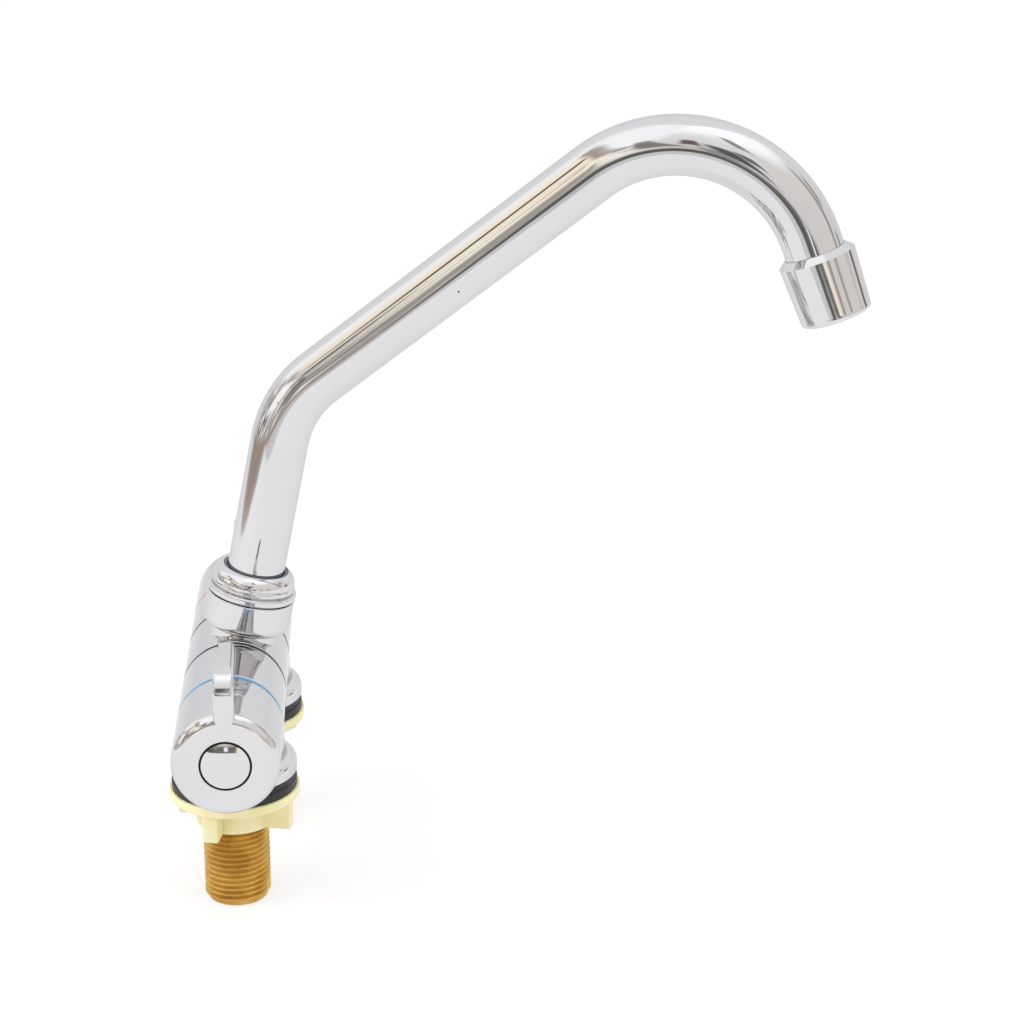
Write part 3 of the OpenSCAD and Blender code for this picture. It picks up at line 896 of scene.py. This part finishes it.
@dataclass
class Room:
    """What stands around the tap: a white backdrop, and in front a pale room with dark things in it.

    Turns are degrees from the way the cold handle faces, towards the spout's side, and rises are degrees
    above the horizon. A span is where a change starts and where it ends.
    """

    front: Wall = Wall((
        (-13, grey(0.80)), (-10, (0.24, 0.24, 0.22, 1)), (-2, (0.22, 0.19, 0.17, 1)),
        (1, (0.85, 0.82, 0.79, 1)), (30, (0.98, 0.96, 0.94, 1)), (48, grey(1.04)), (57, grey(1.2)),
        (66, grey(1.4)), (90, grey(1.5))))
    right: Wall = Wall((
        (-12, (0.84, 0.81, 0.77, 1)), (10, (0.90, 0.85, 0.81, 1)), (40, (0.93, 0.90, 0.86, 1)),
        (47, grey(1.08)), (57, grey(1.4)), (90, grey(1.5))))
    left: Wall = Wall((
        (-13, grey(0.80)), (-9, (0.76, 0.72, 0.68, 1)), (-7.5, (0.40, 0.30, 0.23, 1)),
        (-5, (0.62, 0.56, 0.51, 1)), (-2, (0.66, 0.62, 0.58, 1)), (12, (0.64, 0.60, 0.56, 1)),
        (24, (0.80, 0.76, 0.71, 1)), (48, grey(1.3)), (60, grey(1.45))))
    beam: Wall = Wall((
        (26, (0.72, 0.68, 0.63, 1)), (31, (1.22, 1.10, 0.90, 1)), (39, (1.34, 1.18, 0.92, 1)),
        (42, (0.50, 0.43, 0.37, 1)), (47, (0.62, 0.56, 0.51, 1)), (51, grey(1.3))))
    to_left: Span = (-20, -30)
    to_right: Span = (8, 18)
    backdrop: Span = (110, 140)
    backdrop_grey: float = 0.92
    beam_slope: Span = (-80, 0)
    beam_drop: float = 35.0
    beam_above: Span = (2, 12)
    beam_from: Span = (22, 28)
    window_turn: Span = (-88, -104)
    window_rise: Span = (14, 24)
    window: float = 1.25
    clutter_size: float = 9.0
    clutter_top: Span = (30, 20)
    clutter_foot: Span = (-8, -2)
    clutter_dark: Span = (0.54, 0.60)
    clutter_pale: Span = (0.44, 0.38)
    patches: tuple[Patch, ...] = (
        Patch(-78.0, 12.0, 13.0, 8.0, (1.35, 1.33, 1.30, 1)),
        Patch(-70.0, 4.0, 33.0, 5.0, (0.13, 0.10, 0.08, 1)),
        Patch(-61.0, 3.0, 23.0, 2.0, (0.15, 0.11, 0.09, 1)),
        Patch(-50.0, 6.0, 6.0, 7.0, (0.20, 0.15, 0.12, 1), 0.7),
        Patch(-33.0, 4.0, 6.0, 7.0, (0.40, 0.36, 0.33, 1), 0.8, -0.4),
        Patch(-31.0, 3.0, 14.0, 12.0, (1.25, 1.18, 1.05, 1), 0.85, -0.8),
        Patch(-24.0, 3.0, 19.0, 13.0, (0.20, 0.16, 0.14, 1), 0.85, -0.45),
        Patch(-17.0, 6.0, -8.0, 4.0, (0.13, 0.14, 0.12, 1)),
        Patch(-13.0, 1.8, 3.0, 8.0, (0.34, 0.36, 0.33, 1)),
        Patch(-8.0, 4.5, -14.0, 3.5, (0.13, 0.13, 0.12, 1)),
        Patch(-7.0, 4.5, 15.0, 10.0, (0.10, 0.09, 0.10, 1)),
        Patch(-15.0, 2.2, 23.0, 8.0, (0.16, 0.11, 0.13, 1)),
        Patch(2.0, 4.0, 23.5, 5.0, (0.11, 0.10, 0.095, 1), 0.9),
        Patch(-2.0, 2.0, -4.0, 2.4, (1.30, 1.30, 1.30, 1)),
        Patch(13.0, 4.0, -6.0, 3.0, (1.25, 1.12, 0.95, 1)),
        Patch(24.0, 3.5, -3.0, 5.0, (0.44, 0.35, 0.28, 1), 0.85),
        Patch(46.0, 4.0, 2.0, 5.0, (0.46, 0.43, 0.39, 1), 0.85),
        Patch(107.0, 5.0, 2.0, 6.0, (0.16, 0.13, 0.11, 1), 0.9),
        Patch(14.0, 5.5, 52.0, 9.0, (0.28, 0.22, 0.18, 1), 0.85),
        Patch(82.0, 4.0, -12.0, 5.0, (0.22, 0.21, 0.20, 1), 0.8),
        Patch(86.0, 5.0, 26.0, 18.0, (0.32, 0.30, 0.29, 1), 0.85),
        Patch(101.0, 5.0, 28.0, 6.0, (0.25, 0.23, 0.22, 1), 0.8, 0.6),
    )

    def build(self) -> None:
        """Fills the world."""
        world = bpy.data.worlds.new("room")
        bpy.context.scene.world = world
        world.use_nodes = True
        graph = Graph(world.node_tree)
        way = graph.node("ShaderNodeTexCoord").outputs["Generated"]
        parts = graph.node("ShaderNodeSeparateXYZ", {}, {0: way})
        across, along, height = (Value(graph, parts.outputs[k]) for k in range(3))
        turn = across.bearing(-1 * along) * (360 / TURN)
        rise = height.arcsine() * (360 / TURN)
        left = self._left_side(graph, way, turn, rise)
        colour = graph.mix(turn.step(*self.to_left), self.front.colour(graph, rise), left)
        colour = graph.mix(turn.step(*self.to_right), colour, self.right.colour(graph, rise))
        for patch in self.patches:
            colour = patch.over(graph, colour, turn, rise)
        behind = turn.size().step(*self.backdrop)
        colour = graph.mix(behind, colour, grey(self.backdrop_grey))
        white = seen(graph) * behind.union(seen(graph, Ray.CAMERA))
        colour = graph.mix(white, colour, grey(1.0))
        shade = graph.node("ShaderNodeBackground", {}, {"Color": colour, "Strength": 1.0})
        graph.node("ShaderNodeOutputWorld", {}, {"Surface": shade.outputs[0]})

    def _left_side(self, graph: Graph, way: bpy.types.NodeSocket, turn: Value,
                   rise: Value) -> bpy.types.NodeSocket:
        """The room's left side: wall, sloping beam, window and clutter.

        Args:
            graph: The world's graph.
            way: Direction.
            turn: Degrees from the way the cold handle faces, towards the spout's side.
            rise: Degrees above the horizon.

        Returns:
            The colour.
        """
        slope = turn.step(*self.beam_slope) * self.beam_drop + rise
        colour = self.left.colour(graph, rise)
        colour = graph.mix(rise.step(*self.beam_above) * slope.step(*self.beam_from), colour,
                           self.beam.colour(graph, slope))
        glare = turn.step(*self.window_turn) * rise.step(*self.window_rise)
        colour = graph.mix(glare, colour, grey(self.window))
        sockets = {"Vector": way, "Scale": self.clutter_size, "Detail": 2.0}
        clutter = graph.value("ShaderNodeTexNoise", {}, sockets)
        low = rise.step(*self.clutter_top) * rise.step(*self.clutter_foot)
        dark, pale = clutter.step(*self.clutter_dark) * low, clutter.step(*self.clutter_pale) * low
        colour = graph.mix(dark * 0.75, colour, (0.13, 0.10, 0.08, 1))
        return graph.mix(pale * 0.8, colour, grey(self.window))


@dataclass
class Table:
    """A white table top that keeps the tap's shadow, in millimetres."""

    height: float = -38.6
    front: float = -540.0
    far: float = 2600.0
    left: float = -750.0
    right: float = 1100.0
    glow: float = 0.68

    def build(self) -> None:
        """Lays the table and puts it on the stage."""
        bm = bmesh.new()
        bmesh.ops.create_grid(bm, x_segments=1, y_segments=1, size=0.5)
        wide, deep = self.right - self.left, self.far - self.front
        middle = ((self.right + self.left) / 2, (self.far + self.front) / 2, self.height)
        bmesh.ops.scale(bm, vec=(wide * MM, deep * MM, 1), verts=bm.verts)
        bmesh.ops.translate(bm, vec=Vector(middle) * MM, verts=bm.verts)
        mesh = bpy.data.meshes.new("table")
        bm.to_mesh(mesh)
        bm.free()
        table = bpy.data.objects.new("table", mesh)
        bpy.context.scene.collection.objects.link(table)
        table.data.materials.append(self._white())

    def _white(self) -> bpy.types.Material:
        """Makes the table's white, which looks the same by way of metal.

        Returns:
            The material.
        """
        material = bpy.data.materials.new("white_table")
        material.use_nodes = True
        graph = Graph(material.node_tree)
        paper = graph.node("ShaderNodeBsdfDiffuse", {}, {"Color": grey(0.82)})
        faint = graph.node("ShaderNodeBsdfDiffuse", {}, {"Color": grey(0.30)})
        glow = graph.node("ShaderNodeEmission", {}, {"Color": grey(1.0), "Strength": self.glow})
        lit = graph.node("ShaderNodeAddShader", {}, {0: faint.outputs[0], 1: glow.outputs[0]})
        sides = {0: seen(graph), 1: paper.outputs[0], 2: lit.outputs[0]}
        mixed = graph.node("ShaderNodeMixShader", {}, sides)
        graph.node("ShaderNodeOutputMaterial", {}, {"Surface": mixed.outputs[0]})
        return material


@dataclass(frozen=True)
class Lamp:
    """A square soft lamp that faces the tap, in millimetres and watts."""

    name: str
    place: Point
    size: float
    power: float
    aim: Point = (60.0, 0.0, 80.0)

    def build(self) -> None:
        """Hangs the lamp where the chrome doesn't mirror it."""
        data = bpy.data.lights.new(self.name, "AREA")
        data.size = self.size * MM
        data.energy = self.power
        lamp = bpy.data.objects.new(self.name, data)
        lamp.visible_glossy = False
        lamp.location = Vector(self.place) * MM
        lamp.rotation_mode = "QUATERNION"
        lamp.rotation_quaternion = (Vector(self.aim) * MM - lamp.location).to_track_quat("-Z", "Y")
        bpy.context.scene.collection.objects.link(lamp)


@dataclass
class Studio:
    """White table, pale room and two soft lamps."""

    table: Table = field(default_factory=Table)
    room: Room = field(default_factory=Room)
    lamps: tuple[Lamp, ...] = (
        Lamp("key", (-900, -350, 900), 700, 6.4),
        Lamp("fill", (900, -500, 1100), 900, 4.0),
    )

    def build(self) -> None:
        """Makes table, room and lamps."""
        for thing in (self.table, self.room, *self.lamps):
            thing.build()


@dataclass
class PhotoCamera:
    """The photograph's camera, fitted to the tap's rims and outlines."""

    place: Point = (48.884, -809.11, 365.049)
    pitch: float = 19.473
    yaw: float = 2.837
    roll: float = 0.102
    focal_px: float = 2702.3
    picture_px: float = 1024.0
    sensor: float = 36.0

    def build(self) -> None:
        """Sets the camera up and makes it the scene's."""
        data = bpy.data.cameras.new("photo_camera")
        data.sensor_width = self.sensor
        data.lens = self.sensor * self.focal_px / self.picture_px
        data.clip_start = 0.05
        data.clip_end = 20
        camera = bpy.data.objects.new("photo_camera", data)
        bpy.context.scene.collection.objects.link(camera)
        down, turn, lean = (math.radians(a) for a in (self.pitch, self.yaw, self.roll))
        flat = math.cos(down)
        ahead = Vector((math.sin(turn) * flat, math.cos(turn) * flat, -math.sin(down)))
        level = Vector((math.cos(turn), -math.sin(turn), 0))
        plumb = level.cross(ahead)
        right = level * math.cos(lean) + plumb * math.sin(lean)
        up = plumb * math.cos(lean) - level * math.sin(lean)
        pose = Matrix((right, up, -ahead)).transposed().to_4x4()
        pose.translation = Vector(self.place) * MM
        camera.matrix_world = pose
        bpy.context.scene.camera = camera


def main() -> None:
    """Builds the sub-assemblies, the studio and the camera."""
    logging.basicConfig(level=logging.INFO, format="%(name)s: %(message)s")
    bpy.context.scene.view_settings.view_transform = "Standard"
    for side, turn in ((Side.COLD, -11.0), (Side.HOT, 45.0)):
        Handle(side).build()
        Inlet(side, turn).build()
    Spout().build()
    dress_solids()
    Studio().build()
    PhotoCamera().build()
    bpy.context.view_layer.update()


if __name__ == "__main__":
    main()
